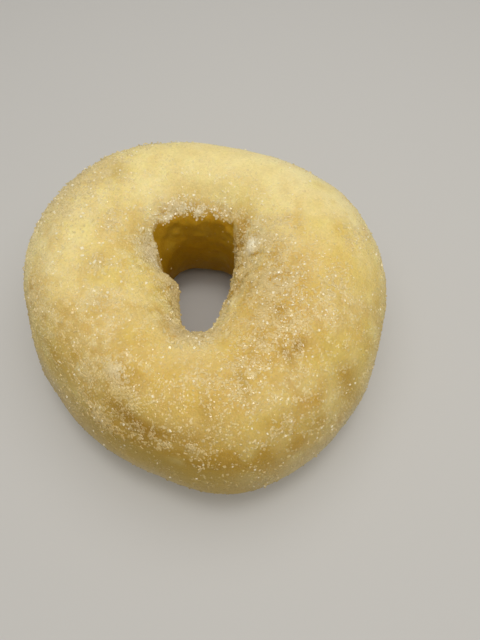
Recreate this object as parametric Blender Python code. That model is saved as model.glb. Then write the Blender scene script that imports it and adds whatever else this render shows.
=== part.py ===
"""A sugared ring doughnut, risen and fried, as one solid ring of dough.

The ring starts as a torus, and every vertex is moved to the place that its two angles give it:
the ring angle, which goes round the hole from +X towards +Y, and the tube angle, which goes round
the dough from its outer side (0 degrees) over the crown (90) and down the wall of the hole (180).
Two outlines seen from above, the outer one and that of the hole, say how wide the dough is at each
ring angle. Half a superellipse above the waist and half below it, rounder outside and squarer in
the hole, give the section there. Then come the marks of the fryer: the dome of the first side that
stands back from the lip of the second one, the frying line between them, a few dents and folds,
and the flat on which the soft dough has settled.
"""
import bpy
import numpy as np

MM = 0.001

# The ring's driving sizes.
OUTER_RADIUS = 42.5 * MM
HEIGHT = 33.0 * MM
WAIST_HEIGHT = 14.5 * MM        # the level at which the dough is widest
BASE_CUT = 1.5 * MM             # how much of the round underside the flat takes away
OUTER_SQUARENESS = 2.1          # 2 is an ellipse, and more is boxier
HOLE_SQUARENESS = 2.4

# The hole at its narrowest: a squarish oval, wider at the back (+Y) than at the front.
HOLE_HALF_WIDTH = 6.6 * MM
HOLE_HALF_LENGTH = 12.7 * MM
HOLE_TAPER = 0.28               # how much wider than the half width it is at the back
HOLE_CORNERS = 3.0              # 2 is an ellipse, and more has squarer corners
HOLE_SHIFT = 2.0 * MM
HOLE_SHIFT_TOWARD = 130

# Swells of the outer outline: how far out, how many go round, and where the first one points.
OUTER_SWELLS = {
    "thick_back": (1.8 * MM, 1, 73),
    "oval": (1.7 * MM, 2, 142),
    "three_cornered": (1.6 * MM, 3, 30),
    "four_cornered": (0.6 * MM, 4, 25),
}

# The crown isn't level: it stands highest at one ring angle and lowest across from it.
CROWN_DROP = 0.8 * MM
CROWN_HIGH_SIDE = 60

# The fried dome stands back from the lip below it, most of all where the ring was pressed.
LINE_HEIGHT = 15.0 * MM
LINE_DEPTH = 0.2 * MM
LINE_SPREAD = 2.0 * MM
DOME_SETBACK = 1.3 * MM
SETBACK_RISE = 14.0 * MM        # the height over which the dome pulls back
PRESSED_SETBACK = 1.3 * MM
PRESSED_SIDE = 218
PRESSED_SPREAD = 22

# Marks in the crust: ring and tube angle, how far out they push it, and their spreads in degrees.
CRUST_MARKS = {
    "lump_in_hole": (184, 155, 2.7 * MM, 17, 18),
    "hole_right_side": (346, 168, -1.6 * MM, 16, 26),
    "hole_right_front": (314, 145, -1.0 * MM, 13, 22),
    "hole_front_end": (270, 165, -0.6 * MM, 12, 22),
    "rim_at_back": (100, 140, 1.2 * MM, 32, 9),
    "corner_at_back_left": (150, 158, -1.0 * MM, 10, 14),
    "crater_at_back": (129, 88, -0.6 * MM, 5, 9),
    "fold_beside_line": (320, 36, -0.9 * MM, 5, 14),
    "dent_at_side": (190, 20, -0.5 * MM, 4, 14),
    "lip_at_side": (203, -5, 0.4 * MM, 6, 14),
    "lip_left": (231, -10, 1.0 * MM, 13, 20),
    "right_cheek": (320, 5, 0.7 * MM, 18, 30),
    "front_cheek": (279, 0, 0.9 * MM, 9, 30),
    "front_flat": (259, 0, -0.5 * MM, 7, 30),
}

# The torus that is shaped, and how many lengths go round the ring and round the dough.
TORUS_RADIUS = 2.0
TORUS_THICKNESS = 1.0
RING_STEPS = 104
TUBE_STEPS = 44

DOUGH_COLOUR = (0.66, 0.49, 0.20, 1.0)
DOUGH_ROUGHNESS = 0.7


def clear_scene():
    """Take the start-up scene's own objects away."""
    for item in list(bpy.data.objects):
        bpy.data.objects.remove(item)


def bell(distance, spread):
    """One at no distance, falling smoothly to nothing past about twice the spread."""
    return np.exp(-0.5 * (distance / spread) ** 2)


def ease(amount):
    """Nought below 0, one above 1, and a smooth rise between them."""
    amount = np.clip(amount, 0.0, 1.0)
    return amount * amount * (3.0 - 2.0 * amount)


def turn_from(angle, place):
    """The shortest turn, in radians, from a place given in degrees to each angle."""
    return np.angle(np.exp(1j * (angle - np.radians(place))))


def outer_outline(ring_angle):
    """The ring's outer reach: round, plus its swells, each a cosine with its own crests."""
    total = np.full_like(ring_angle, OUTER_RADIUS)
    for size, crests, toward in OUTER_SWELLS.values():
        total += size * np.cos(crests * turn_from(ring_angle, toward))
    return total


def hole_outline(ring_angle):
    """The hole's reach: the oval's (|cos / width| ^ n + |sin / length| ^ n) ^ (-1 / n), shifted."""
    half_width = HOLE_HALF_WIDTH * (1.0 + HOLE_TAPER * np.sin(ring_angle))
    width_part = np.abs(np.cos(ring_angle) / half_width) ** HOLE_CORNERS
    length_part = np.abs(np.sin(ring_angle) / HOLE_HALF_LENGTH) ** HOLE_CORNERS
    oval = (width_part + length_part) ** (-1.0 / HOLE_CORNERS)
    return oval + HOLE_SHIFT * np.cos(turn_from(ring_angle, HOLE_SHIFT_TOWARD))


def plain_section(ring_angle, tube_angle):
    """The distance from the ring's axis, and the height, of each point of the plain section.

    At a tube angle the surface lies at (|cos / across| ^ n + |sin / upright| ^ n) ^ (-1 / n) from
    the middle of the waist. Across is half the dough's width, and upright is the rise to the crown
    or the drop to the underside. The exponent n is the squareness of that side.
    """
    outer = outer_outline(ring_angle)
    hole = hole_outline(ring_angle)
    middle = (outer + hole) / 2
    across = (outer - hole) / 2
    drop = CROWN_DROP * (1.0 - np.cos(turn_from(ring_angle, CROWN_HIGH_SIDE))) / 2
    rise = HEIGHT - WAIST_HEIGHT - drop
    upright = np.where(np.sin(tube_angle) > 0, rise, WAIST_HEIGHT + BASE_CUT)
    squareness = np.where(np.cos(tube_angle) > 0, OUTER_SQUARENESS, HOLE_SQUARENESS)
    across_part = np.abs(np.cos(tube_angle) / across) ** squareness
    upright_part = np.abs(np.sin(tube_angle) / upright) ** squareness
    arm = (across_part + upright_part) ** (-1.0 / squareness)
    return middle + arm * np.cos(tube_angle), WAIST_HEIGHT + arm * np.sin(tube_angle)


def fryer_marks(ring_angle, tube_angle, height):
    """How far the outer side stands back from the plain section: the dome, then the line."""
    outside = np.clip(np.cos(tube_angle), 0.0, 1.0)
    pressed = bell(turn_from(ring_angle, PRESSED_SIDE), np.radians(PRESSED_SPREAD))
    setback = DOME_SETBACK + PRESSED_SETBACK * pressed
    above_lip = ease((height - LINE_HEIGHT) / SETBACK_RISE + 0.5)
    line = LINE_DEPTH * bell(height - LINE_HEIGHT, LINE_SPREAD)
    return outside * (setback * above_lip + line)


def crust_marks(ring_angle, tube_angle):
    """How far the marks push the crust out, each a bell in both angles."""
    relief = np.zeros_like(ring_angle)
    for ring_place, tube_place, out, ring_spread, tube_spread in CRUST_MARKS.values():
        along = bell(turn_from(ring_angle, ring_place), np.radians(ring_spread))
        over = bell(turn_from(tube_angle, tube_place), np.radians(tube_spread))
        relief += out * along * over
    return relief


def shape_ring(mesh):
    """Move the torus's vertices to the dough's surface, and centre the ring on its own box."""
    count = len(mesh.vertices)
    place = np.empty(count * 3)
    mesh.vertices.foreach_get("co", place)
    x, y, z = place.reshape(count, 3).T
    ring_angle = np.arctan2(y, x)
    tube_angle = np.arctan2(z, np.hypot(x, y) - TORUS_RADIUS)

    reach, height = plain_section(ring_angle, tube_angle)
    reach = reach - fryer_marks(ring_angle, tube_angle, height)
    relief = crust_marks(ring_angle, tube_angle)
    reach = reach + relief * np.cos(tube_angle)
    height = np.maximum(height + relief * np.sin(tube_angle), 0.0)

    shaped = np.stack([reach * np.cos(ring_angle), reach * np.sin(ring_angle), height], axis=1)
    middle = (shaped.max(axis=0) + shaped.min(axis=0)) / 2
    shaped[:, :2] -= middle[:2]
    mesh.vertices.foreach_set("co", shaped.ravel())
    mesh.update()


def dough_material():
    """Pale golden fried crust."""
    material = bpy.data.materials.new("crust")
    material.use_nodes = True
    shader = material.node_tree.nodes["Principled BSDF"]
    shader.inputs["Base Color"].default_value = DOUGH_COLOUR
    shader.inputs["Roughness"].default_value = DOUGH_ROUGHNESS
    shader.inputs["Metallic"].default_value = 0.0
    return material


def make_dough_ring(collection):
    """The ring of dough, from a torus whose vertices are read for their two angles."""
    bpy.ops.mesh.primitive_torus_add(
        major_segments=RING_STEPS, minor_segments=TUBE_STEPS,
        major_radius=TORUS_RADIUS, minor_radius=TORUS_THICKNESS)
    ring = bpy.context.object
    ring.name = "dough_ring"
    ring.data.name = "dough_ring"
    for owner in list(ring.users_collection):
        owner.objects.unlink(ring)
    collection.objects.link(ring)
    shape_ring(ring.data)
    ring.data.shade_smooth()
    ring.data.materials.append(dough_material())
    return ring


def main():
    clear_scene()
    collection = bpy.data.collections.new("sugared_ring_doughnut")
    bpy.context.scene.collection.children.link(collection)
    make_dough_ring(collection)


main()
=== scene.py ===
# %% [markdown]
# # A sugared ring doughnut
#
# This lesson gives a plain solid of a ring doughnut its real looks. The solid is already made: one
# ring of dough at its true size, which stays as the thing that falls, rests and collides. What
# follows replaces it for the eye with a finer surface of the same form, gives that surface the
# colours of fried dough, and then strews it with sugar, crystal by crystal.
#
# Blender offers particles, instances and displacement for such coats, but a coat made that way is
# gone once the model leaves Blender. So every crystal here is a few real faces, and each kind of
# crystal is joined into one mesh.

# %% Load the frame
import bpy
import numpy as np
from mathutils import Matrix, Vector


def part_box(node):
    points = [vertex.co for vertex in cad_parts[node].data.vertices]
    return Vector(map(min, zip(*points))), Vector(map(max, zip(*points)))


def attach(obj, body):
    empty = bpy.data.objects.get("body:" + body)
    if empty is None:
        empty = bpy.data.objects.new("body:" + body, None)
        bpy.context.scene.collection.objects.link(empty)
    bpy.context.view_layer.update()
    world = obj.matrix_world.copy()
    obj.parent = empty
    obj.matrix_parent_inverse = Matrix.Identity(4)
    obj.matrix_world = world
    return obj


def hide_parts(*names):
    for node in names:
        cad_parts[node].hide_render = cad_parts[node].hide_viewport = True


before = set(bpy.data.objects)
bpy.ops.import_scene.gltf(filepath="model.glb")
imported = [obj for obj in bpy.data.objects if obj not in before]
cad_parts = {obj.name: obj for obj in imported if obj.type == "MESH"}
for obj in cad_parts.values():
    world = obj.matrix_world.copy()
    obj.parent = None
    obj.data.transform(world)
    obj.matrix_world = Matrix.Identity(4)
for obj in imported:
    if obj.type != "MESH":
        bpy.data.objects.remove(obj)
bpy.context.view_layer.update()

MM = 0.001

# %% [markdown]
# ## Three small curves that shape everything
#
# Soft food has no corners, so every mark on it fades in and out. A bell fades on both sides of a
# place, and an ease rises from nought to one. Angles need one more tool, because 359 degrees and 1
# degree are neighbours: the turn from a place is measured the short way round.

# %% Bell, ease and turn
def bell(distance, spread):
    """One at no distance, 0.61 at one spread and 0.14 at two: exp(-(distance / spread)^2 / 2)."""
    return np.exp(-0.5 * (distance / spread) ** 2)


def ease(amount):
    """Nought below 0, one above 1, and a smooth rise between them: 3 a^2 - 2 a^3."""
    amount = np.clip(amount, 0.0, 1.0)
    return amount * amount * (3.0 - 2.0 * amount)


def turn_from(angle, place):
    """The shortest turn, in radians, from a place given in degrees to each angle."""
    return np.angle(np.exp(1j * (angle - np.radians(place))))


print("a bell at 0, 1 and 2 spreads:", np.round(bell(np.arange(3.0), 1.0), 3))

# %% [markdown]
# ## Smooth noise on whole arrays
#
# Dough rises unevenly, and sugar falls unevenly. Both want a random number for every point in
# space that changes smoothly from place to place. Blender's own noise works one point at a time,
# so here random values sit on the corners of a cubic lattice, and each point blends the eight
# corners round it. The points go through as one array, and the same seed gives the same dough.

# %% Lattice noise
LATTICE = 24


def soft_noise(points, cell, seed):
    """Noise between -1 and 1 at each point: the eight lattice corners round it, eased together."""
    table = np.random.default_rng(seed).uniform(-1.0, 1.0, (LATTICE, LATTICE, LATTICE))
    scaled = points / cell
    low = np.floor(scaled).astype(int)
    share = ease(scaled - low)
    total = np.zeros(points.shape[:-1])
    for corner in np.ndindex(2, 2, 2):
        x, y, z = np.moveaxis((low + corner) % LATTICE, -1, 0)
        weight = np.prod(np.where(corner, share, 1.0 - share), axis=-1)
        total += weight * table[x, y, z]
    return total


print("noise at the origin:", round(float(soft_noise(np.zeros((1, 3)), 1.0, 1)[0]), 3))

# %% [markdown]
# ## The ring seen from above
#
# A ring of dough is a torus gone soft. Every point of it has two angles: the ring angle goes round
# the hole, and the tube angle goes round the dough, from the outer side over the crown and down
# into the hole. Seen from above the ring has two outlines. The outer one is a circle with a few
# broad swells, and the hole is a squarish oval that is wider at the back.

# %% The two outlines
OUTER_RADIUS = 42.5 * MM
OUTER_SWELLS = {
    "thick_back": (1.8 * MM, 1, 73),
    "oval": (1.7 * MM, 2, 142),
    "three_cornered": (1.6 * MM, 3, 30),
    "four_cornered": (0.6 * MM, 4, 25),
}
HOLE_HALF_WIDTH = 6.6 * MM
HOLE_HALF_LENGTH = 12.7 * MM
HOLE_TAPER = 0.28
HOLE_CORNERS = 3.0
HOLE_SHIFT = 2.0 * MM
HOLE_SHIFT_TOWARD = 130


def outer_outline(ring_angle):
    """The ring's outer reach: round, plus its swells, each a cosine with its own crests."""
    total = np.full_like(ring_angle, OUTER_RADIUS)
    for size, crests, toward in OUTER_SWELLS.values():
        total += size * np.cos(crests * turn_from(ring_angle, toward))
    return total


def hole_outline(ring_angle):
    """The hole's reach: the oval's (|cos / width| ^ n + |sin / length| ^ n) ^ (-1 / n), shifted."""
    half_width = HOLE_HALF_WIDTH * (1.0 + HOLE_TAPER * np.sin(ring_angle))
    width_part = np.abs(np.cos(ring_angle) / half_width) ** HOLE_CORNERS
    length_part = np.abs(np.sin(ring_angle) / HOLE_HALF_LENGTH) ** HOLE_CORNERS
    oval = (width_part + length_part) ** (-1.0 / HOLE_CORNERS)
    return oval + HOLE_SHIFT * np.cos(turn_from(ring_angle, HOLE_SHIFT_TOWARD))


quarters = np.radians([0.0, 90.0, 180.0, 270.0])
print("outer reach at the four sides, in mm:", np.round(outer_outline(quarters) / MM, 1))
print("hole reach at the four sides, in mm:", np.round(hole_outline(quarters) / MM, 1))

# %% [markdown]
# ## The ring cut across
#
# Cut through, the dough is half a superellipse above its waist and half below. A superellipse is
# an ellipse whose exponent isn't 2: a little more makes it squarer, as dough is where it pressed
# against itself in the hole. The height comes from the solid's own box, so the two agree.

# %% The section
low_corner, high_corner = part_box("dough_ring")
HEIGHT = high_corner.z - low_corner.z
WAIST_HEIGHT = 14.5 * MM
BASE_CUT = 1.5 * MM
OUTER_SQUARENESS = 2.1
HOLE_SQUARENESS = 2.4
CROWN_DROP = 0.8 * MM
CROWN_HIGH_SIDE = 60


def plain_section(ring_angle, tube_angle):
    """Reach from the axis, and height, at each pair of angles, before any mark is made.

    The arm from the middle of the waist is (|cos / across| ^ n + |sin / upright| ^ n) ^ (-1 / n).
    """
    outer = outer_outline(ring_angle)
    hole = hole_outline(ring_angle)
    middle = (outer + hole) / 2
    across = (outer - hole) / 2
    drop = CROWN_DROP * (1.0 - np.cos(turn_from(ring_angle, CROWN_HIGH_SIDE))) / 2
    rise = HEIGHT - WAIST_HEIGHT - drop
    upright = np.where(np.sin(tube_angle) > 0, rise, WAIST_HEIGHT + BASE_CUT)
    squareness = np.where(np.cos(tube_angle) > 0, OUTER_SQUARENESS, HOLE_SQUARENESS)
    across_part = np.abs(np.cos(tube_angle) / across) ** squareness
    upright_part = np.abs(np.sin(tube_angle) / upright) ** squareness
    arm = (across_part + upright_part) ** (-1.0 / squareness)
    return middle + arm * np.cos(tube_angle), WAIST_HEIGHT + arm * np.sin(tube_angle)


print("height, in mm:", round(HEIGHT / MM, 2))

# %% [markdown]
# ## Marks of the fryer
#
# A doughnut floats. Its first side fries and puffs up into a dome, it is turned, and the second
# side sets wider under it. Between them runs the frying line, with a pale lip below that hardly
# touched the oil. The dome is made to stand back from the lip, and a shallow hollow marks the line.

# %% The frying line and the lip
LINE_HEIGHT = 15.0 * MM
LINE_DEPTH = 0.2 * MM
LINE_SPREAD = 2.0 * MM
DOME_SETBACK = 1.3 * MM
SETBACK_RISE = 14.0 * MM
PRESSED_SETBACK = 1.3 * MM
PRESSED_SIDE = 218
PRESSED_SPREAD = 22


def fryer_marks(ring_angle, tube_angle, height):
    """How far the outer side stands back from the plain section: the dome, then the line."""
    outside = np.clip(np.cos(tube_angle), 0.0, 1.0)
    pressed = bell(turn_from(ring_angle, PRESSED_SIDE), np.radians(PRESSED_SPREAD))
    setback = DOME_SETBACK + PRESSED_SETBACK * pressed
    above_lip = ease((height - LINE_HEIGHT) / SETBACK_RISE + 0.5)
    line = LINE_DEPTH * bell(height - LINE_HEIGHT, LINE_SPREAD)
    return outside * (setback * above_lip + line)


print("the dome stands back by up to", round((DOME_SETBACK + PRESSED_SETBACK) / MM, 1), "mm")

# %% [markdown]
# ## Single marks
#
# The rest of what the fryer did has no rule: lumps, dents, a fold and the corners of the hole. Each
# is one bell on the surface. A mark says where it is, as a ring angle and a tube angle in degrees,
# then its size, then how far it spreads round the ring and over the tube. The same five numbers
# serve later for the sugar and the colours, with a share in the place of the size.

# %% Marks on the crust
CRUST_MARKS = {
    "lump_in_hole": (184, 155, 2.7 * MM, 17, 18),
    "hole_right_side": (346, 168, -1.6 * MM, 16, 26),
    "hole_right_front": (314, 145, -1.0 * MM, 13, 22),
    "hole_front_end": (270, 165, -0.6 * MM, 12, 22),
    "rim_at_back": (84, 140, 1.2 * MM, 26, 9),
    "corner_at_back_left": (147, 152, -1.9 * MM, 15, 14),
    "crater_at_back": (129, 88, -0.6 * MM, 5, 9),
    "fold_beside_line": (320, 36, -0.9 * MM, 5, 14),
    "dent_at_side": (190, 20, -0.5 * MM, 4, 14),
    "lip_at_side": (203, -5, 0.4 * MM, 6, 14),
    "lip_left": (231, -10, 1.0 * MM, 13, 20),
    "right_cheek": (320, 5, 0.7 * MM, 18, 30),
    "front_cheek": (279, 0, 0.9 * MM, 9, 30),
    "front_flat": (259, 0, -0.5 * MM, 7, 30),
}


def marks_at(ring_angle, tube_angle, marks):
    """The sum of single marks: each is its size times a bell in the ring and the tube angle."""
    total = np.zeros_like(ring_angle)
    for ring_place, tube_place, size, ring_spread, tube_spread in marks.values():
        along = bell(turn_from(ring_angle, ring_place), np.radians(ring_spread))
        over = bell(turn_from(tube_angle, tube_place), np.radians(tube_spread))
        total += size * along * over
    return total


print(len(CRUST_MARKS), "marks in the crust")

# %% [markdown]
# ## Where the sugar lies
#
# Sugar isn't even. It sticks where the crust was still oily, cakes into clumps round the hole's
# rim, and has been rubbed off the frying line. One list of clumps serves twice: the crust swells a
# little under each one, and more crystals are strewn there later.
#
# Between the clumps the coat gathers in small lumps, about a millimetre and a half wide, with amber
# gaps where the crust shows, darkened as painted shade between the lumps. One noise gives the
# height of the lumps, the amber of the gaps and the places of the crystals, because the eye sees at
# once when the three don't agree.

# %% Clumps and thin places
SUGAR_CLUMPS = {
    "right_of_hole": (27, 132, 0.8, 8, 5),
    "right_wide": (5, 128, 0.45, 28, 16),
    "back_rim": (88, 131, 0.8, 12, 6),
    "back_rim_left": (115, 131, 0.5, 10, 6),
    "left_rim": (186, 152, 0.8, 26, 9),
    "left_back_rim": (150, 146, 0.6, 16, 8),
    "front_rim": (268, 125, 1.0, 11, 6),
    "right_middle": (340, 107, 0.6, 10, 13),
    "right_front": (315, 95, 0.45, 12, 14),
    "front_middle": (285, 84, 0.35, 10, 14),
    "front_left": (240, 72, 0.6, 4, 6),
    "front_left_small": (250, 69, 0.4, 2, 4),
    "front": (271, 45, 0.4, 3, 5),
    "front_beside": (259, 45, 0.32, 5, 5),
    "front_right": (291, 44, 0.35, 6, 3),
    "left_low": (239, 30, 0.5, 2.5, 4),
    "low_front": (273, 33, 0.45, 2, 3),
    "lower_left": (239, 38, 0.3, 9, 11),
    "left_beside": (228, 61, 0.35, 3, 5),
    "left_far": (143, 68, 0.4, 18, 20),
    "left": (193, 50, 0.35, 7, 9),
    "left_crown_back": (152, 110, 0.3, 5, 7),
    "left_crown": (183, 104, 0.4, 6, 8),
    "left_crown_front": (208, 94, 0.4, 6, 8),
    "right_crown": (347, 75, 0.45, 6, 7),
    "right_edge": (12, 58, 0.3, 5, 10),
}
THIN_PLACES = {
    "back_crown": (75, 78, 0.45, 40, 16),
    "right_side": (15, 55, 0.4, 28, 22),
    "below_hole": (285, 112, 0.4, 8, 12),
    "back": (92, 90, 0.3, 48, 26),
    "low_front": (267, 28, 0.56, 17, 14),
    "right_rim": (24, 156, 0.3, 26, 8),
    "left_crown": (168, 92, 0.2, 12, 10),
    "front_crown": (284, 68, 0.3, 16, 16),
    "left_groove": (214, 40, 0.42, 8, 12),
    "above_hole": (92, 118, 0.4, 26, 7),
}
print(len(SUGAR_CLUMPS), "clumps and", len(THIN_PLACES), "thin places")

# %% Lumps and cover
LUMP_SIZE = 1.5 * MM
CRUMB_SIZE = 0.8 * MM
LIP_HEIGHT = 11.0 * MM
LIP_SPREAD = 3.0 * MM
EVEN_COAT = 0.55
PATCHINESS = 0.28
PATCH_SIZE, SMALL_PATCH_SIZE = 6.0 * MM, 2.2 * MM
RUBBED_OFF = 0.45
THINNEST, THICKEST = 0.03, 1.5


def sugar_lumps(ring_angle, tube_angle):
    """Sugar gathers in lumps: about 1 on each lump and -1 in the gaps, in two sizes."""
    reach, height = plain_section(ring_angle, tube_angle)
    points = np.stack([reach * np.cos(ring_angle), reach * np.sin(ring_angle), height], axis=-1)
    return 1.2 * soft_noise(points, LUMP_SIZE, 15) + 0.7 * soft_noise(points, CRUMB_SIZE, 16)


def outer_side(tube_angle):
    """One round the outer side, and nought from the crown into the hole: an ease of 2 cos."""
    return ease(np.cos(tube_angle) * 2.0)


def line_share(tube_angle, points):
    """One on the pale lip and the frying line, nought away from them: a bell in the height."""
    return outer_side(tube_angle) * bell(points[..., 2] - LIP_HEIGHT, LIP_SPREAD)


def sugar_cover(ring_angle, tube_angle, points):
    """How thick the sugar lies: the even coat, plus patches and clumps, less thin places."""
    patchy = soft_noise(points, PATCH_SIZE, 21) + 0.6 * soft_noise(points, SMALL_PATCH_SIZE, 22)
    clumps = marks_at(ring_angle, tube_angle, SUGAR_CLUMPS)
    thin = marks_at(ring_angle, tube_angle, THIN_PLACES)
    rubbed = RUBBED_OFF * line_share(tube_angle, points)
    return np.clip(EVEN_COAT + PATCHINESS * patchy + clumps - thin - rubbed, THINNEST, THICKEST)


print("the coat is", THINNEST, "to", THICKEST, "thick, and", EVEN_COAT, "where nothing marks it")

# %% [markdown]
# ## The whole surface
#
# Now the pieces come together: section, fryer's marks, single marks, and three sizes of noise for
# the unevenness of risen dough. Everything below the resting plane is pressed flat against it. At
# the end the ring is moved so that its box is centred over the solid's.

# %% The relief of the crust
UNEVENNESS = {
    "broad": (0.35 * MM, 11.0 * MM, 11),
    "middle": (0.16 * MM, 4.5 * MM, 12),
    "fine": (0.07 * MM, 1.8 * MM, 13),
}
RIM_RAGGEDNESS = 0.5 * MM
RIM_BITE_SIZE = 1.6 * MM
RIM_PLACE, RIM_SPREAD = 142, 12
CLUMP_SWELL = 0.3 * MM
LUMP_HEIGHT = 0.09 * MM


def crust_relief(ring_angle, tube_angle, points):
    """How far the crust stands out at each point: marks, clumps and three sizes of noise."""
    relief = marks_at(ring_angle, tube_angle, CRUST_MARKS)
    relief += CLUMP_SWELL * marks_at(ring_angle, tube_angle, SUGAR_CLUMPS)
    for height, size, seed in UNEVENNESS.values():
        relief += height * soft_noise(points, size, seed)
    rim = bell(turn_from(tube_angle, RIM_PLACE), np.radians(RIM_SPREAD))
    relief += RIM_RAGGEDNESS * rim * soft_noise(points, RIM_BITE_SIZE, 14)
    cover = sugar_cover(ring_angle, tube_angle, points)
    relief += LUMP_HEIGHT * cover * sugar_lumps(ring_angle, tube_angle)
    return relief


print("a clump swells the crust by up to", round(CLUMP_SWELL / MM, 2), "mm")

# %% The dough as one function of two angles
def dough_surface(ring_angle, tube_angle):
    """The point at each pair of angles, before centring: section, setback and relief together."""
    reach, height = plain_section(ring_angle, tube_angle)
    reach = reach - fryer_marks(ring_angle, tube_angle, height)
    across, along = np.cos(ring_angle), np.sin(ring_angle)
    plain = np.stack([reach * across, reach * along, height], axis=-1)
    relief = crust_relief(ring_angle, tube_angle, plain)
    reach = reach + relief * np.cos(tube_angle)
    height = np.maximum(height + relief * np.sin(tube_angle), 0.0)
    return np.stack([reach * across, reach * along, height], axis=-1)


over_the_back = dough_surface(np.radians([90.0] * 3), np.radians([0.0, 90.0, 180.0]))
print("heights over the back, outer side to hole, in mm:", np.round(over_the_back[:, 2] / MM, 1))

# %% The grid of points
RING_STEPS = 440
TUBE_STEPS = 220
ring_steps = np.arange(RING_STEPS) * 2 * np.pi / RING_STEPS
tube_steps = np.arange(TUBE_STEPS) * 2 * np.pi / TUBE_STEPS
ring_grid, tube_grid = np.meshgrid(ring_steps, tube_steps, indexing="ij")
dough_points = dough_surface(ring_grid, tube_grid)
box_middle = (dough_points.max(axis=(0, 1)) + dough_points.min(axis=(0, 1))) / 2
solid_middle = np.array(low_corner + high_corner) / 2
CENTRING = np.array([solid_middle[0] - box_middle[0], solid_middle[1] - box_middle[1], 0.0])
dough_points += CENTRING
print("the surface's size, in mm:", np.round(np.ptp(dough_points, axis=(0, 1)) / MM, 1))

# %% [markdown]
# ## The colours of fried dough
#
# Dough goes from cream to gold to brown as it fries, and no side of it fries evenly. One function
# gives the crust's colour anywhere: gold, then cream and ochre mottling from the noise, then the
# browner places. Some of the darker places are painted shade, some of them only in part: the front
# side that faces away from the light, the lower sides, the rim going into the hole and the
# underside by the floor. The hole's wall took hardly any sugar, so it is bare and deeper in colour,
# and it is painted darker further down as the shade deep in the hole. The dough wears this colour,
# and each crystal will borrow it, painted shade and all, from the spot under it, because sugar is
# clear and shows what it sits on.

# %% Colours by name
GOLD = (0.77, 0.615, 0.20)
CREAM = (0.86, 0.75, 0.38)
YELLOW = (0.79, 0.655, 0.19)
OCHRE = (0.67, 0.445, 0.10)
DEEP_GOLD = (0.66, 0.44, 0.09)
HONEY = (0.56, 0.335, 0.045)
RIM_SHADE = (0.52, 0.345, 0.085)
DULL = (0.58, 0.47, 0.275)
OLIVE_SHADE = (0.47, 0.31, 0.055)
LIP = (0.68, 0.55, 0.265)
WALL = (0.47, 0.27, 0.012)
WALL_DEEP_SHADE = (0.39, 0.205, 0.004)
WALL_SHADE = (0.17, 0.08, 0.001)
WALL_DUST = (0.58, 0.40, 0.04)
BROWN = (0.40, 0.23, 0.03)
SUGAR_BEIGE = (0.69, 0.51, 0.205)
GAP_AMBER_AND_SHADE = (0.51, 0.305, 0.05)
print("from cream", CREAM, "over gold", GOLD, "to brown", BROWN)

# %% Broad places: painted shade, honey and pale
# The darker sides are painted shade on the front of the ring, which faces away from the light.
PAINTED_SHADE_SIDES = {
    "front": (268, 85, 0.8, 45, 34),
    "left": (222, 94, 0.35, 26, 26),
    "right": (335, 105, 0.9, 34, 28),
}
# Honey places are partly browner crust and partly painted shade, low on the sides and at the rim of
# the hole.
HONEY_AND_SHADE_PLACES = {
    "front_low": (259, 30, 1.2, 22, 20),
    "left_low": (211, 40, 0.5, 14, 12),
    "front_right_low": (292, 26, 0.4, 20, 16),
    "right_low": (348, 30, 0.5, 16, 18),
    "right_rim": (24, 152, 1.0, 30, 9),
    "right_corner": (50, 139, 1.0, 9, 8),
    "hole_side_front": (336, 147, 1.0, 12, 9),
    "right_front_low": (312, 41, 0.5, 11, 10),
    "right_front_top": (318, 95, 0.45, 5, 5),
    "left_front_side": (219, 58, 0.4, 6, 8),
    "back_rim": (82, 136, 0.4, 42, 6),
}
PALE_PLACES = {
    "back_left": (128, 72, 0.7, 50, 32),
    "upper_right": (62, 88, 0.6, 22, 24),
    "back_crown": (95, 100, 0.6, 40, 12),
}
print(len(PAINTED_SHADE_SIDES) + len(HONEY_AND_SHADE_PLACES), "darker places and", len(PALE_PLACES), "pale ones")

# %% Small places: brown spots, and painted shade in olive and dull
BROWN_SPOTS = {
    "under_line_front": (262, 57, 0.3, 8, 5),
    "front": (277, 33, 0.6, 6, 4),
    "front_left": (254, 45, 0.75, 7, 6),
    "right_small": (315, 77, 1.2, 2.4, 2.8),
    "right_streak": (309, 80, 0.9, 1.4, 5),
    "right_of_rim": (304, 97, 0.6, 1.8, 4),
    "right_middle": (323, 101, 0.6, 2.5, 4),
    "front_streak": (289, 83, 0.5, 1.4, 9),
    "front_small": (275, 74, 0.4, 2, 6),
    "under_clump_left": (247, 55, 0.8, 4, 5),
    "under_clump": (256, 53, 0.7, 5, 4),
    "fold": (321, 26, 0.6, 4, 12),
    "crater": (129, 84, 0.5, 4, 7),
    "left_notch": (187, 20, 0.5, 4, 12),
    # The three rim spots below are partly browner crust and partly painted shade where the rim
    # turns into the hole.
    "hole_front": (269, 129, 0.6, 13, 8),
    "right_rim": (50, 148, 0.7, 16, 8),
    "hole_right_front": (338, 150, 0.5, 9, 8),
}
# Painted shade in the frying line's hollow at the front and under the lip, next to the floor.
LOW_SHADE_PLACES = {
    "front_hollow": (263, 18, 1.0, 22, 16),
    "front_lip": (241, -2, 0.9, 15, 13),
    "front_under": (276, -12, 1.0, 12, 12),
    "left_under": (208, -6, 0.8, 15, 10),
}
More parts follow.
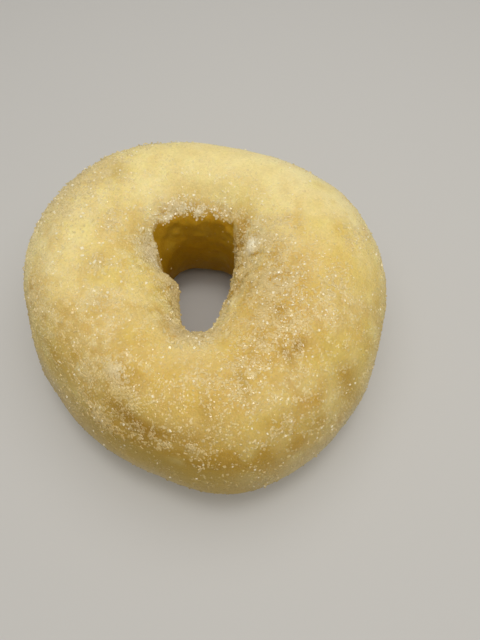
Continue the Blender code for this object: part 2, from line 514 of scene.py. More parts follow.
# Dull places are painted shade on the edges that turn away from the light, at the hole's front and
# under the lip; right_lip is the paler lip itself.
DULL_LIP_AND_SHADE_PLACES = {
    "back_edge": (90, 56, 0.35, 46, 14),
    "right_lip": (315, 4, 0.6, 24, 13),
    "right_edge": (46, 40, 0.25, 14, 12),
    "left_edge": (150, 44, 0.3, 12, 12),
    "hole_front": (269, 131, 0.6, 13, 8),
    "left_lip": (212, 0, 0.6, 20, 12),
    "front_under": (256, -9, 0.5, 15, 8),
}
print(len(BROWN_SPOTS) + len(LOW_SHADE_PLACES) + len(DULL_LIP_AND_SHADE_PLACES), "small places")

# %% Places on the hole's wall
WALL_SUGAR = {
    "left": (115, 149, 0.3, 5, 4),
    "middle": (90, 148, 0.25, 5, 4),
    "left_low": (122, 162, 0.35, 4, 4),
    "right": (66, 152, 0.25, 5, 6),
    "right_low": (72, 183, 0.25, 9, 7),
}
WALL_SHADED = {
    "left_low": (136, 182, 0.5, 12, 12),
}
print(len(WALL_SUGAR), "dusted places on the wall and", len(WALL_SHADED), "in its own shade")

# %% Shares that follow the shape
UNDERNEATH, UNDERNEATH_WIDTH = 225.0, 25.0
LOW_START, LOW_DEPTH = 26.0 * MM, 12.0 * MM
WALL_BACK = 97
WALL_RIM, WALL_RIM_AT_BACK = 166.0, 132.0
WALL_BACK_REACH, WALL_BACK_FADE = 46.0, 12.0
WALL_RAGGEDNESS, WALL_EDGE = 5.0, 5.0


def down_the_hole(tube_angle, start, width):
    """Rises from nought to one past a tube angle on the hole's side, and fades out underneath."""
    degrees = np.degrees(tube_angle)
    fading = 1.0 - ease((degrees - UNDERNEATH) / UNDERNEATH_WIDTH)
    return ease((degrees - start) / width) * fading


def low_share(tube_angle, points):
    """Nought on the crown, rising to one down the outer side to the frying line and below."""
    return outer_side(tube_angle) * ease((LOW_START - points[..., 2]) / LOW_DEPTH)


def wall_share(ring_angle, tube_angle, points):
    """One on the hole's bare wall, which starts at a ragged rim that is higher at the back."""
    from_back = np.degrees(np.abs(turn_from(ring_angle, WALL_BACK)))
    at_back = ease((WALL_BACK_REACH - from_back) / WALL_BACK_FADE)
    rim = WALL_RIM - (WALL_RIM - WALL_RIM_AT_BACK) * at_back
    rim = rim + WALL_RAGGEDNESS * soft_noise(points, RIM_BITE_SIZE, 33)
    return down_the_hole(tube_angle, rim, WALL_EDGE)


bare = wall_share(ring_grid, tube_grid, dough_points)
print("bare wall, as a share of the grid:", round(float(bare.mean()), 3))

# %% Mixing colours by share
def mix(colour, other, share):
    """Colours moved toward another one by a share that differs from place to place."""
    share = np.clip(share, 0.0, 1.0)[..., None]
    return colour * (1.0 - share) + np.array(other) * share


print("halfway from gold to brown:", np.round(mix(np.array(GOLD), BROWN, 0.5), 3))

# %% The wall's colour
WALL_DEEP_START, WALL_DEEP_WIDTH = 148.0, 26.0


def wall_colour(ring_angle, tube_angle, shape):
    """The bare wall: golden brown, with a dust of sugar here and there.

    Further down it is painted darker as the shade deep in the hole, and low on its left it is
    painted with the shadow below the bulge there.
    """
    wall = np.broadcast_to(np.array(WALL), shape)
    wall = mix(wall, WALL_DEEP_SHADE, down_the_hole(tube_angle, WALL_DEEP_START, WALL_DEEP_WIDTH))
    wall = mix(wall, WALL_DUST, marks_at(ring_angle, tube_angle, WALL_SUGAR))
    return mix(wall, WALL_SHADE, marks_at(ring_angle, tube_angle, WALL_SHADED))


print("the wall deepens from", WALL_DEEP_START, "degrees over", WALL_DEEP_WIDTH, "degrees")

# %% The crust's colour at any place
MOTTLING = [
    (CREAM, 0.4, 0.9, 10.0 * MM, 31),
    (YELLOW, 0.0, 0.8, 4.2 * MM, 37),
    (OCHRE, -0.05, 0.8, 5.0 * MM, 32),
    (HONEY, -0.1, 0.6, 2.6 * MM, 35),
    (CREAM, 0.0, 0.5, 2.2 * MM, 36),
]
PALENESS = 0.6
SIDE_SHADE_SHARE = 0.6
GOLD_AND_SHADE_BELOW = 0.45
HONEY_USUAL, HONEY_SWING, HONEY_SIZE = 0.8, 0.9, 3.2 * MM
RICH_FROM = 0.3
SANDY_USUAL, SANDY_SWING, SANDY_SIZE = 0.5, 0.25, 3.0 * MM
LESS_SANDY_LOW = 0.6
AMBER_USUAL, AMBER_IN_GAPS = 0.3, 0.5
RIM_SHADED, RIM_SHADE_START, RIM_SHADE_WIDTH = 0.65, 134.0, 24.0
BROWNNESS = 0.8


def crust_colour(ring_angle, tube_angle, points):
    """Red, green and blue of the crust at each place, as light meets it.

    It starts gold. Then come mottling, broad places with painted shade among them, sugared lumps
    with amber gaps between them that are partly painted shade, the lip, the small places, the olive
    and dull ones mostly painted shade, and last the wall of the hole, painted darker deep down.
    """
    def at(marks):
        return marks_at(ring_angle, tube_angle, marks)

    colour = np.broadcast_to(np.array(GOLD), points.shape)
    for other, usual, swing, size, seed in MOTTLING:
        colour = mix(colour, other, usual + swing * soft_noise(points, size, seed))
    low = low_share(tube_angle, points)
    colour = mix(colour, CREAM, PALENESS * at(PALE_PLACES))
    # Painted shade on the sides that face away from the light.
    colour = mix(colour, OCHRE, SIDE_SHADE_SHARE * at(PAINTED_SHADE_SIDES))
    # Deeper gold down the outer side: partly the sides' deeper fry, partly painted shade.
    colour = mix(colour, DEEP_GOLD, GOLD_AND_SHADE_BELOW * low)
    # Honey: partly browner crust, partly painted shade.
    mottled = HONEY_USUAL + HONEY_SWING * soft_noise(points, HONEY_SIZE, 38)
    colour = mix(colour, HONEY, mottled * at(HONEY_AND_SHADE_PLACES))

    rich = np.clip(sugar_cover(ring_angle, tube_angle, points) - RICH_FROM, 0.0, 1.0)
    sandy = SANDY_USUAL * rich + SANDY_SWING * soft_noise(points, SANDY_SIZE, 34)
    colour = mix(colour, SUGAR_BEIGE, (1.0 - LESS_SANDY_LOW * low) * sandy)
    # Amber in the gaps between lumps: partly the crust showing, partly painted shade between them.
    gaps = AMBER_USUAL - AMBER_IN_GAPS * sugar_lumps(ring_angle, tube_angle)
    colour = mix(colour, GAP_AMBER_AND_SHADE, rich * gaps)

    colour = mix(colour, LIP, line_share(tube_angle, points))
    # Painted shade low on the front and under the lip.
    colour = mix(colour, OLIVE_SHADE, at(LOW_SHADE_PLACES))
    # Dull grey: mostly painted shade on edges and under the lip, partly the paler lip.
    colour = mix(colour, DULL, at(DULL_LIP_AND_SHADE_PLACES))
    # Painted shade down the rim into the hole, where less light reaches.
    rim = down_the_hole(tube_angle, RIM_SHADE_START, RIM_SHADE_WIDTH)
    colour = mix(colour, RIM_SHADE, RIM_SHADED * rim)
    colour = mix(colour, BROWN, BROWNNESS * at(BROWN_SPOTS))
    wall = wall_colour(ring_angle, tube_angle, points.shape)
    share = wall_share(ring_angle, tube_angle, points)[..., None]
    return colour * (1.0 - share) + wall * share


dough_colours = crust_colour(ring_grid, tube_grid, dough_points)
print("mean colour of the crust:", np.round(dough_colours.mean(axis=(0, 1)), 3))

# %% [markdown]
# ## From arrays to a mesh
#
# A mesh needs its points, its faces and whatever each point carries. Blender takes all of these as
# flat lists in one go. Colours travel on the points as an attribute that a material can read by
# name, and a map gives each face a place of its own, on which the finish can be baked.

# %% Mesh helper
def mesh_object(name, points, faces, uvs, colours, normals=None):
    """One object from points (n, 3), equal-sided faces (m, k), a UV per face corner and colours.

    It is shaded smooth, or by the normals given for its face corners.
    """
    mesh = bpy.data.meshes.new(name)
    corners = faces.shape[1]
    mesh.vertices.add(len(points))
    mesh.vertices.foreach_set("co", points.astype(np.float32).ravel())
    mesh.loops.add(faces.size)
    mesh.loops.foreach_set("vertex_index", faces.astype(np.int32).ravel())
    mesh.polygons.add(len(faces))
    mesh.polygons.foreach_set("loop_start", np.arange(len(faces), dtype=np.int32) * corners)
    mesh.polygons.foreach_set("loop_total", np.full(len(faces), corners, dtype=np.int32))
    mesh.polygons.foreach_set("use_smooth", np.ones(len(faces), dtype=bool))
    layer = mesh.uv_layers.new(name="OFBake")
    layer.data.foreach_set("uv", uvs.astype(np.float32).ravel())
    attribute = mesh.attributes.new("own_colour", "FLOAT_COLOR", "POINT")
    opaque = np.concatenate([colours, np.ones((len(points), 1))], axis=1)
    attribute.data.foreach_set("color", opaque.astype(np.float32).ravel())
    mesh.update()
    mesh.validate()
    if normals is not None:
        layer = mesh.attributes.new("custom_normal", "FLOAT_VECTOR", "CORNER")
        layer.data.foreach_set("vector", normals.astype(np.float32).ravel())
        mesh.update()
    made = bpy.data.objects.new(name, mesh)
    bpy.context.scene.collection.objects.link(made)
    return made


print("the dough's grid will give", ring_grid.size, "points and as many faces")

# %% [markdown]
# ## The dough
#
# The grid of points closes on itself both ways, so the surface has no seam and no poles. Each cell
# of the grid becomes one square face, whose corners are listed so that it faces outward. The grid
# itself is the map that the colours can be baked on.

# %% Build the dough
def grid_faces(steps_round, steps_over):
    """Square faces of a grid that closes both ways, facing outward."""
    ring, tube = np.indices((steps_round, steps_over))
    ring_next, tube_next = (ring + 1) % steps_round, (tube + 1) % steps_over
    corners = [(ring, tube), (ring_next, tube), (ring_next, tube_next), (ring, tube_next)]
    return np.stack([a * steps_over + b for a, b in corners], axis=-1).reshape(-1, 4)


def grid_map(steps_round, steps_over):
    """The four corners of each face on a map as wide as one turn, with no jump at its seam."""
    ring, tube = np.indices((steps_round, steps_over))
    across = np.stack([ring, ring + 1, ring + 1, ring], axis=-1) / steps_round
    along = np.stack([tube, tube, tube + 1, tube + 1], axis=-1) / steps_over
    return np.stack([across, along], axis=-1).reshape(-1, 2)


dough = mesh_object(
    "dough",
    dough_points.reshape(-1, 3),
    grid_faces(RING_STEPS, TUBE_STEPS),
    grid_map(RING_STEPS, TUBE_STEPS),
    dough_colours.reshape(-1, 3),
)
print("the dough has", 2 * len(dough.data.polygons), "triangles")

# %% [markdown]
# ## The crust as a material
#
# The broad colours come with the points. What is finer than the mesh is left to the material: a
# speckle the size of the finest sugar, which is too small to strew, and the pores of the crust.
# A few helpers add a node and fill its sockets in one call, so that a material reads as a list.

# %% Node helpers
def fill_sockets(tree, node, sockets):
    """Each socket, by its name or number, gets the value given, or a link from an output."""
    for name, given in sockets.items():
        if isinstance(given, bpy.types.NodeSocket):
            tree.links.new(given, node.inputs[name])
        else:
            node.inputs[name].default_value = given


def add_node(tree, kind, sockets, **settings):
    """A new node of one kind, with its settings made and its sockets filled."""
    node = tree.nodes.new(kind)
    for name, setting in settings.items():
        setattr(node, name, setting)
    fill_sockets(tree, node, sockets)
    return node


def new_material(name):
    """A material with nodes: the material, its node tree and its shader."""
    material = bpy.data.materials.new(name)
    material.use_nodes = True
    return material, material.node_tree, material.node_tree.nodes["Principled BSDF"]


def own_colour(tree):
    """The colour that travels on the points."""
    return add_node(tree, "ShaderNodeAttribute", {}, attribute_name="own_colour").outputs["Color"]


print("a socket takes a value or a link")

# %% Speckle and pores
SPECKLE_SIZE = 0.42 * MM
SPECKLE_RANGE = (0.95, 1.05)
PORE_SIZE = 0.9 * MM
PORE_DETAIL = 3.0
PORE_DEPTH = 0.25 * MM
GRAIN_DEPTH = 0.15 * MM
BUMP_STRENGTH = 0.3


def speckled(tree, colour, speckle):
    """The colour times a shade of its own in each cell of the speckle."""
    channels = add_node(tree, "ShaderNodeSeparateColor", {"Color": speckle.outputs["Color"]})
    shade = add_node(tree, "ShaderNodeMapRange", {
        "Value": channels.outputs["Red"],
        "To Min": SPECKLE_RANGE[0],
        "To Max": SPECKLE_RANGE[1],
    })
    sockets = {"Vector": colour, "Scale": shade.outputs["Result"]}
    return add_node(tree, "ShaderNodeVectorMath", sockets, operation="SCALE").outputs["Vector"]


def pored(tree, place, speckle):
    """Normals bent by pores, which are noise, and by a low grain in each cell of the speckle."""
    pores = add_node(tree, "ShaderNodeTexNoise", {
        "Vector": place,
        "Scale": 1 / PORE_SIZE,
        "Detail": PORE_DETAIL,
    })
    pore_bump = add_node(tree, "ShaderNodeBump", {
        "Height": pores.outputs["Fac"],
        "Strength": BUMP_STRENGTH,
        "Distance": PORE_DEPTH,
    })
    sockets = {
        "Height": speckle.outputs["Distance"],
        "Normal": pore_bump.outputs["Normal"],
        "Strength": BUMP_STRENGTH,
        "Distance": GRAIN_DEPTH,
    }
    return add_node(tree, "ShaderNodeBump", sockets, invert=True).outputs["Normal"]


print("speckle of", round(SPECKLE_SIZE / MM, 2), "mm and pores of", round(PORE_SIZE / MM, 2), "mm")

# %% Crust material
CRUST_ROUGHNESS = 0.6
CRUST_SHINE = 0.12
SCATTER_SIZE = 0.6 * MM
SCATTER_COLOURS = (1.0, 0.85, 0.6)


def crust_material():
    """Fried dough: its own colours, speckled and pored in steps finer than the mesh."""
    material, tree, shader = new_material("crust")
    place = tree.nodes.new("ShaderNodeTexCoord").outputs["Object"]
    speckle = add_node(tree, "ShaderNodeTexVoronoi", {"Vector": place, "Scale": 1 / SPECKLE_SIZE})
    fill_sockets(tree, shader, {
        "Base Color": speckled(tree, own_colour(tree), speckle),
        "Normal": pored(tree, place, speckle),
        "Roughness": CRUST_ROUGHNESS,
        "Subsurface Weight": 1.0,
        "Subsurface Scale": SCATTER_SIZE,
        "Subsurface Radius": SCATTER_COLOURS,
        "Specular IOR Level": CRUST_SHINE,
    })
    return material


dough.data.materials.append(crust_material())
print("crust material:", len(dough.data.materials[0].node_tree.nodes), "nodes")

# %% [markdown]
# ## Places for the sugar
#
# Strewing evenly over a surface has a trap: the grid's cells aren't equal, so picking cells evenly
# would crowd the small ones. Each cell gets a weight, its area times the cover wanted there. The
# weights are summed along the list, random numbers are thrown at that sum, and each lands in a
# cell as often as its weight says.

# %% Strew places over the dough
next_ring = np.roll(dough_points, -1, axis=0)
next_tube = np.roll(dough_points, -1, axis=1)
next_both = np.roll(next_ring, -1, axis=1)
diagonals = np.cross(next_both - dough_points, next_tube - next_ring)
cell_area = np.linalg.norm(diagonals, axis=-1) / 2
cell_normal = diagonals / (2 * cell_area[..., None])
cell_cover = sugar_cover(ring_grid, tube_grid, dough_points)


def strew(count, cover, seed):
    """Random places picked by area times cover: their points, normals, ring and tube angles."""
    chance = np.random.default_rng(seed)
    running = np.cumsum((cell_area * cover).ravel())
    cell = np.searchsorted(running, chance.uniform(0.0, running[-1], count))
    ring, tube = np.unravel_index(np.minimum(cell, running.size - 1), cover.shape)
    u, v = chance.random((2, count, 1))
    near = dough_points[ring, tube] * (1 - u) + next_ring[ring, tube] * u
    far = next_tube[ring, tube] * (1 - u) + next_both[ring, tube] * u
    ring_angle = ring_steps[ring] + u[:, 0] * ring_steps[1]
    tube_angle = tube_steps[tube] + v[:, 0] * tube_steps[1]
    return near * (1 - v) + far * v, cell_normal[ring, tube], ring_angle, tube_angle


print("the dough's surface, in square cm:", round(float(cell_area.sum()) * 1e4, 1))

# %% [markdown]
# ## Sugar crystals
#
# Under a lens a sugar crystal is a small slanted block. The larger crystals here are blocks of
# eight corners that taper upward, and the finest are wedges of six. Each has its own size, is
# knocked out of true and turned at random, and its faces catch the light one at a time, which is
# what makes sugar glitter.
#
# A real crystal is clear: light that enters it from above leaves by every side. Solid faces would
# be bright on one side and black on the other, like gravel. Clear material could be used instead,
# but it is slow to render and is lost when the model is exported. So each face is lit as if it
# were turned some way toward the crust's own direction and toward the sky.

# %% Crystal shapes
TAPER = 0.65
BLOCK = np.array([[x, y, z] for x in (-1, 1) for y in (-1, 1) for z in (-1, 1)], dtype=float)
BLOCK[BLOCK[:, 2] > 0, :2] *= TAPER
BLOCK_FACES = np.array([
    [0, 1, 3], [0, 3, 2], [4, 6, 7], [4, 7, 5], [0, 4, 5], [0, 5, 1],
    [2, 3, 7], [2, 7, 6], [0, 2, 6], [0, 6, 4], [1, 5, 7], [1, 7, 3],
])
WEDGE = np.array([
    [-1, -0.9, -1], [1, -0.9, -1], [-1, 0.9, -1], [1, 0.9, -1], [-0.6, 0, 1], [0.6, 0, 1],
])
WEDGE_FACES = np.array([
    [0, 4, 2], [1, 3, 5], [0, 3, 1], [0, 2, 3], [2, 5, 3], [2, 4, 5], [4, 1, 5], [4, 0, 1],
])
print("a block has", len(BLOCK_FACES), "triangles and a wedge", len(WEDGE_FACES))

# %% Softened normals and turned frames
SOFTENING = 0.8
LEAN_TO_SKY = np.array([0.0, 0.0, 0.6])
NO_LENGTH = 1e-20


def softened_normals(grain_points, shape_faces, surface_normals):
    """A normal for each face corner: the flat face's own, a share of the crust's and some up."""
    a, b, c = np.moveaxis(grain_points[:, shape_faces], 2, 0)
    flat = np.cross(b - a, c - a)
    flat /= np.linalg.norm(flat, axis=-1, keepdims=True) + NO_LENGTH
    soft = flat + SOFTENING * surface_normals[:, None, :] + LEAN_TO_SKY
    soft /= np.linalg.norm(soft, axis=-1, keepdims=True)
    return np.repeat(soft.reshape(-1, 3), 3, axis=0)


def turned_frames(normals, tilt, chance):
    """For each grain three unit axes: the last is the surface's normal knocked over by tilt."""
    last = normals + tilt * chance.normal(size=normals.shape)
    last /= np.linalg.norm(last, axis=1, keepdims=True)
    first = np.cross(last, chance.normal(size=normals.shape))
    first /= np.linalg.norm(first, axis=1, keepdims=True)
    return np.stack([first, np.cross(last, first), last], axis=1)


print("normals lean", SOFTENING, "to the crust's own and", LEAN_TO_SKY[2], "to the sky")

# %% Grains as one mesh
KNOCKED = 0.22
SIDE_RANGE = (0.7, 1.15)
FLATNESS = (1.0, 1.0, 0.5)
MAP_CIRCLE = 0.36


def grains(name, shape, shape_faces, places, sizes, lift, tilt, colours, seed):
    """One mesh of many grains: shape times size, knocked, turned, set on its place and coloured.

    Each grain's corners lie on a small circle of its own on the map, so no two grains share any
    of it, and every face has some width there.
    """
    points, normals = places[0], places[1]
    count, corners = len(points), len(shape)
    chance = np.random.default_rng(seed)
    half = sizes[:, None] * chance.uniform(*SIDE_RANGE, (count, 3)) * FLATNESS / 2
    local = shape + chance.uniform(-KNOCKED, KNOCKED, (count, corners, 3))
    local = local * half[:, None, :]
    turned = np.einsum("gci,gij->gcj", local, turned_frames(normals, tilt, chance))
    centres = points + normals * (lift * sizes)[:, None]
    placed = turned + centres[:, None, :]
    placed[..., 2] = np.maximum(placed[..., 2], 0.0)
    faces = shape_faces + (np.arange(count) * corners)[:, None, None]

    side = int(np.ceil(np.sqrt(count)))
    turn = np.arange(corners) * 2 * np.pi / corners
    circle = 0.5 + MAP_CIRCLE * np.stack([np.cos(turn), np.sin(turn)], axis=-1)
    square = np.stack([np.arange(count) % side, np.arange(count) // side], axis=-1)
    uv = (square[:, None, :] + circle) / side
    made = mesh_object(
        name,
        placed.reshape(-1, 3),
        faces.reshape(-1, 3),
        uv.reshape(-1, 2)[faces.ravel()],
        np.repeat(colours, corners, axis=0),
        softened_normals(placed, shape_faces, normals),
    )
    print(name, "has", count, "grains and", len(made.data.polygons), "triangles")
    return made


print("a grain is half as high as it is wide, and its corners are knocked by", KNOCKED)

# %% [markdown]
# ## What colour is clear sugar?
#
# A single crystal is clear, so it takes the colour of the crust under it. Many together scatter
# light between them and turn beige, then cream, and white where they are caked. So each grain's
# colour starts from the crust and is moved toward sugar's own beige and cream by a random share,
# and a few are let go nearly white, partly as caked sugar and partly as painted glints, with more
# painted glints on the crowns. On the sides in painted shade fewer grains turn cream or white.
# Grains in heaps and on steep sides are a little darker, which makes up for the light that their
# softened faces gain there.

# %% Where the sugar is white, and where glints are painted
SUGAR_CREAM = (0.89, 0.78, 0.46)
SUGAR_WHITE = (0.96, 0.89, 0.66)
WHITE_PLACES = {
    "back_rim": (98, 131, 0.7, 5, 2.5),
    "back_rim_right": (81, 132, 0.5, 5, 2.5),
    "back_rim_left": (120, 135, 0.4, 5, 2.5),
    "right_of_hole": (28, 133, 1.1, 5, 3),
    "front_left": (241, 74, 0.25, 4, 4),
    "left_corner": (149, 148, 0.4, 12, 10),
}
PAINTED_GLINT_PLACES = {
    "left_crown": (198, 98, 0.055, 20, 12),
    "left_crown_back": (152, 108, 0.04, 8, 8),
    "right_crown": (348, 78, 0.07, 14, 14),
    "right_edge": (12, 55, 0.05, 12, 14),
    "right_middle": (335, 105, 0.05, 16, 14),
}
print(len(WHITE_PLACES), "caked places and", len(PAINTED_GLINT_PLACES), "places that glint")

# %% Sugar colours
BEIGE_USUAL, BEIGE_IN_HEAPS, BEIGE_SWING, BEIGE_SIZE = 0.2, 0.5, 0.3, 4.0 * MM
CLEARER_LOW = 0.75
CLEARER_AT_RIM, CLEAR_RIM_START, CLEAR_RIM_WIDTH = 0.2, 138.0, 14.0
FEWER_WHITE_IN_SHADE = 0.4
CREAM_RANGE = (0.5, 1.5)
SHADE_RANGE = (0.93, 1.06)
HEAP_SHADE = 0.12
STEEP_SHADE = 0.22
STEEPEST = 0.35
WHITE_GRAIN = 0.7
WHITE_PLACE = 0.8


def sugar_colours(places, cream_share, white_chance, seed):
    """Each grain's colour: the crust's, moved toward cream or beige by chance, or nearly white."""
    points, normals, ring_angle, tube_angle = places
    chance = np.random.default_rng(seed)
    count = len(points)

    def at(marks):
        return marks_at(ring_angle, tube_angle, marks)

    colour = crust_colour(ring_angle, tube_angle, points)
    heaped = at(SUGAR_CLUMPS)
    rim = down_the_hole(tube_angle, CLEAR_RIM_START, CLEAR_RIM_WIDTH)
    # Low down and at the rim the grains stay nearer the crust's colour, painted shade included.
    high = 1.0 - CLEARER_LOW * low_share(tube_angle, points) - CLEARER_AT_RIM * rim
    beige = BEIGE_USUAL + BEIGE_IN_HEAPS * heaped + BEIGE_SWING * soft_noise(points, BEIGE_SIZE, 41)
    colour = mix(colour, SUGAR_BEIGE, high * beige)
    # Fewer cream and white grains where the sides are painted shade, as fewer catch the light
    # there.
    clear = 1.0 - FEWER_WHITE_IN_SHADE * np.clip(at(PAINTED_SHADE_SIDES), 0.0, 1.0)
    cream = high * clear * cream_share * chance.uniform(*CREAM_RANGE, count)
    colour = mix(colour, SUGAR_CREAM, cream)
    steep = 1.0 - np.clip(normals[:, 2], 0.0, 1.0)
    shade = chance.uniform(*SHADE_RANGE, count) - HEAP_SHADE * np.clip(heaped, 0.0, 1.0)
    shade -= STEEP_SHADE * np.clip(steep, 0.0, STEEPEST)
    colour = colour * shade[:, None]
    # White grains are partly caked sugar and partly painted glints, more of them in the glint
    # places.
    white = chance.random(count) < (white_chance + at(PAINTED_GLINT_PLACES)) * clear
    colour = mix(colour, SUGAR_WHITE, WHITE_GRAIN * white + WHITE_PLACE * at(WHITE_PLACES))
    return np.clip(colour, 0.0, 1.0)


print("grains are shaded", SHADE_RANGE[0], "to", SHADE_RANGE[1], "times their colour")

# %% Sugar material
SUGAR_ROUGHNESS = 0.15
SUGAR_IOR = 1.54


def sugar_material():
    """Hard, clear-faced crystal in each grain's own colour."""
    material, tree, shader = new_material("sugar")
    fill_sockets(tree, shader, {
        "Base Color": own_colour(tree),
        "Roughness": SUGAR_ROUGHNESS,
        "IOR": SUGAR_IOR,
    })
    return material


sugar = sugar_material()
print("sugar's own colours:", SUGAR_BEIGE, SUGAR_CREAM, SUGAR_WHITE)

# %% [markdown]
# ## Strewing the coat
#
# Six kinds of grain go on. The finest lie nearly everywhere, the small and medium ones keep to the
# lumps, and a few large ones are scattered over all. Then come the clumps, crystals heaped over
# each other where the dough was oiliest, and last the biggest crystals, along the hole's rim.
#
# Clear crystals pass light on, so they cast no shadows here. With shadows, the gaps between them
# would turn grey and the coat would look like sand.

# %% How thick each kind lies
RIM_CRYSTALS = {
    "left": (190, 156, 1.0, 28, 10),
    "left_back": (150, 148, 0.6, 14, 7),
    "right": (12, 150, 0.9, 26, 9),
    "front": (268, 138, 2.2, 12, 10),
    "front_top": (269, 119, 2.2, 8, 5),
    "right_front": (312, 150, 0.5, 20, 10),
}
WALL_BARENESS = 0.995
PRESSED_FLAT = 0.1 * MM
LOWEST_COVER, LOW_END, LOW_RISE = 0.35, 3.0 * MM, 8.0 * MM
EVEN_SHARE = 0.35
LUMP_SHARE, LUMP_SWING, LUMP_RANGE = 0.5, 0.8, (0.1, 1.5)
GATHERING = 1.5
HEAPS_ON_WALL = 0.04

grid_height = dough_points[..., 2]
open_wall = 1.0 - WALL_BARENESS * wall_share(ring_grid, tube_grid, dough_points)
open_wall *= grid_height > PRESSED_FLAT
on_top = LOWEST_COVER + (1.0 - LOWEST_COVER) * ease((grid_height - LOW_END) / LOW_RISE)
on_lumps = np.clip(LUMP_SHARE + LUMP_SWING * sugar_lumps(ring_grid, tube_grid), *LUMP_RANGE)
even_cover = (EVEN_SHARE + cell_cover) * open_wall * on_top
patchy_cover = cell_cover ** GATHERING * open_wall * on_top * on_lumps
heaps = np.clip(marks_at(ring_grid, tube_grid, SUGAR_CLUMPS), 0.0, 1.0)
heaped_cover = heaps ** GATHERING * on_lumps * (HEAPS_ON_WALL + open_wall)
rim_cover = marks_at(ring_grid, tube_grid, RIM_CRYSTALS) * on_lumps * open_wall
print("heaps, as a share of the grid:", round(float((heaps > 0.1).mean()), 3))

# %% Sizes and lifts
MORE_SMALL = 1.6


def sizes_between(smallest, largest, count, seed):
    """Grain sizes with more small than large: smallest + (largest - smallest) * chance ^ 1.6."""
    chance = np.random.default_rng(seed).random(count)
    return smallest + (largest - smallest) * chance ** MORE_SMALL


def lifts(highest, power, count, seed):
    """How far each grain of a heap is lifted, in its own sizes: highest * chance ^ power."""
    return highest * np.random.default_rng(seed).random(count) ** power


print("a heap's crystals are lifted", round(float(lifts(1.0, 2, 9000, 92).mean()), 2), "sizes")

# %% Strew the sugar
KINDS = {
    "sugar_fine": dict(
        count=24000, cover=even_cover, wedge=True, sizes=(0.20 * MM, 0.34 * MM),
        lift=0.0, tilt=0.16, cream=0.10, white=0.01, seeds=(51, 52, 53, 54)),
    "sugar_small": dict(
        count=24000, cover=patchy_cover, wedge=True, sizes=(0.26 * MM, 0.42 * MM),
        lift=0.0, tilt=0.25, cream=0.20, white=0.01, seeds=(61, 62, 63, 64)),
    "sugar_medium": dict(
        count=14000, cover=patchy_cover, wedge=False, sizes=(0.32 * MM, 0.52 * MM),
        lift=0.0, tilt=0.32, cream=0.28, white=0.02, seeds=(71, 72, 73, 74)),
    "sugar_coarse": dict(
        count=1600, cover=even_cover, wedge=False, sizes=(0.36 * MM, 0.60 * MM),
        lift=0.1, tilt=0.6, cream=0.30, white=0.08, seeds=(81, 82, 83, 84)),
    "sugar_clumps": dict(
        count=9000, cover=heaped_cover, wedge=False, sizes=(0.32 * MM, 0.54 * MM),
        lift=lifts(1.0, 2, 9000, 92), tilt=0.4, cream=0.22, white=0.03, seeds=(91, 93, 94, 95)),
    "sugar_rim": dict(
        count=800, cover=rim_cover, wedge=False, sizes=(0.42 * MM, 0.80 * MM),
        lift=lifts(0.5, 1, 800, 102), tilt=0.6, cream=0.35, white=0.06, seeds=(101, 103, 104, 105)),
}
sugar_pieces = []
for name, kind in KINDS.items():
    strew_seed, size_seed, colour_seed, grain_seed = kind["seeds"]
    shape, shape_faces = (WEDGE, WEDGE_FACES) if kind["wedge"] else (BLOCK, BLOCK_FACES)
    places = strew(kind["count"], kind["cover"], strew_seed)
    sizes = sizes_between(*kind["sizes"], kind["count"], size_seed)
    colours = sugar_colours(places, kind["cream"], kind["white"], colour_seed)
    sugar_pieces.append(grains(
        name, shape, shape_faces, places, sizes, kind["lift"], kind["tilt"], colours, grain_seed))
print("sugar in all:", sum(len(piece.data.polygons) for piece in sugar_pieces), "triangles")

# %% [markdown]
# ## Giving the pieces to the frame
#
# Each piece is hung on the body it moves with and given what it is made of, and the plain solid
# that the dough stands for is hidden. The doughnut has no moving parts, so all of it rides on the
# one fixed body.

# %% Ride, slot and replace
for piece in sugar_pieces:
    piece.data.materials.append(sugar)
    piece.visible_shadow = False
    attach(piece, "root")
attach(dough, "root")
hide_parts("dough_ring")
print(len(sugar_pieces) + 1, "pieces ride on the fixed body")

# %% [markdown]
# ## A place to look at it
#
# A plain pale floor, a soft sky all round and two lamps overhead. The broad, near one gives the
# soft light that most of the dough is seen by. The smaller one is higher and a little behind, small
# enough for the crystals to catch it one by one.

# %% Floor
FLOOR_COLOUR = (0.56, 0.55, 0.525, 1.0)
FLOOR_REACH = 3.0
FLOOR_ROUGHNESS = 0.8


def make_floor():
    """A plain pale floor at the height that the doughnut rests on."""
    far = FLOOR_REACH
    corners = [(-far, -far, 0), (far, -far, 0), (far, far, 0), (-far, far, 0)]
    mesh = bpy.data.meshes.new("floor")
    mesh.from_pydata(corners, [], [(0, 1, 2, 3)])
    floor = bpy.data.objects.new("floor", mesh)
    bpy.context.scene.collection.objects.link(floor)
    material, tree, shader = new_material("floor_grey")
    fill_sockets(tree, shader, {"Base Color": FLOOR_COLOUR, "Roughness": FLOOR_ROUGHNESS})
    mesh.materials.append(material)


make_floor()
print("the floor reaches", FLOOR_REACH, "m each way")

# %% Lamps
LAMPS = {
    "broad": ((0.04, -0.01, 0.40), 0.6, 1.33),
    "glint": ((0.04, 0.05, 0.78), 0.22, 0.9),
}
LAMP_COLOUR = (1.0, 0.98, 0.95)


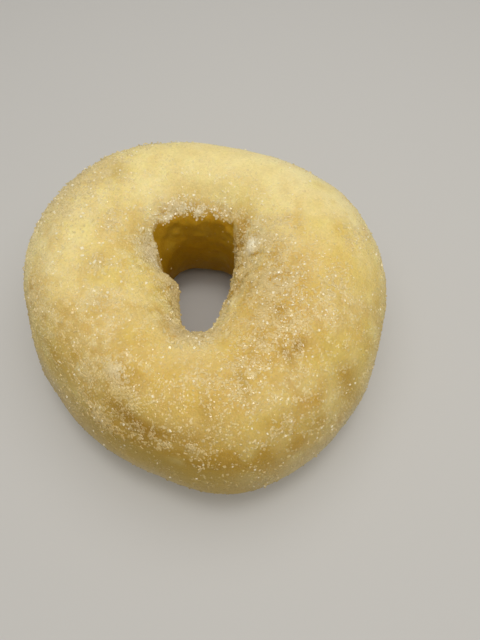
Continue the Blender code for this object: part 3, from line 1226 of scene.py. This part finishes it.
def make_lamps():
    """Round lamps, each with its place, width and power, turned to the middle of the floor."""
    for name, (place, size, power) in LAMPS.items():
        lamp = bpy.data.lights.new(name, "AREA")
        lamp.shape = "DISK"
        lamp.size = size
        lamp.energy = power
        lamp.color = LAMP_COLOUR
        made = bpy.data.objects.new(name, lamp)
        made.location = place
        made.rotation_euler = Vector(place).to_track_quat("Z", "Y").to_euler()
        bpy.context.scene.collection.objects.link(made)


make_lamps()
print(len(LAMPS), "lamps")

# %% Sky
SKY_STRENGTH = 0.27
BACKDROP_COLOUR = (0.62, 0.61, 0.59, 1.0)


def make_sky():
    """An even sky all round, which looks pale to the camera and is dimmer to everything else."""
    world = bpy.data.worlds.new("sky")
    bpy.context.scene.world = world
    world.use_nodes = True
    tree = world.node_tree
    sky = tree.nodes["Background"]
    fill_sockets(tree, sky, {"Color": (*LAMP_COLOUR, 1.0), "Strength": SKY_STRENGTH})
    seen = add_node(tree, "ShaderNodeBackground", {"Color": BACKDROP_COLOUR})
    path = tree.nodes.new("ShaderNodeLightPath")
    choose = add_node(tree, "ShaderNodeMixShader", {
        "Fac": path.outputs["Is Camera Ray"],
        1: sky.outputs["Background"],
        2: seen.outputs["Background"],
    })
    fill_sockets(tree, tree.nodes["World Output"], {"Surface": choose.outputs["Shader"]})


make_sky()
bpy.context.scene.view_settings.view_transform = "Standard"
print("a sky of strength", SKY_STRENGTH)

# %% Camera
CAMERA_PLACE = (8.2 * MM, -56.95 * MM, 113.0 * MM)
CAMERA_TILT = 28.0
FOCAL_LENGTH = 27.06
SENSOR_WIDTH = 36.0
NEAREST_SEEN = 0.01


def make_camera():
    """A camera held near, above and in front, looking steeply down."""
    lens = bpy.data.cameras.new("camera")
    lens.lens = FOCAL_LENGTH
    lens.sensor_width = SENSOR_WIDTH
    lens.clip_start = NEAREST_SEEN
    camera = bpy.data.objects.new("camera", lens)
    camera.location = CAMERA_PLACE
    camera.rotation_euler = (np.radians(CAMERA_TILT), 0.0, 0.0)
    bpy.context.scene.collection.objects.link(camera)
    bpy.context.scene.camera = camera


make_camera()
print("the camera looks", 90.0 - CAMERA_TILT, "degrees down")
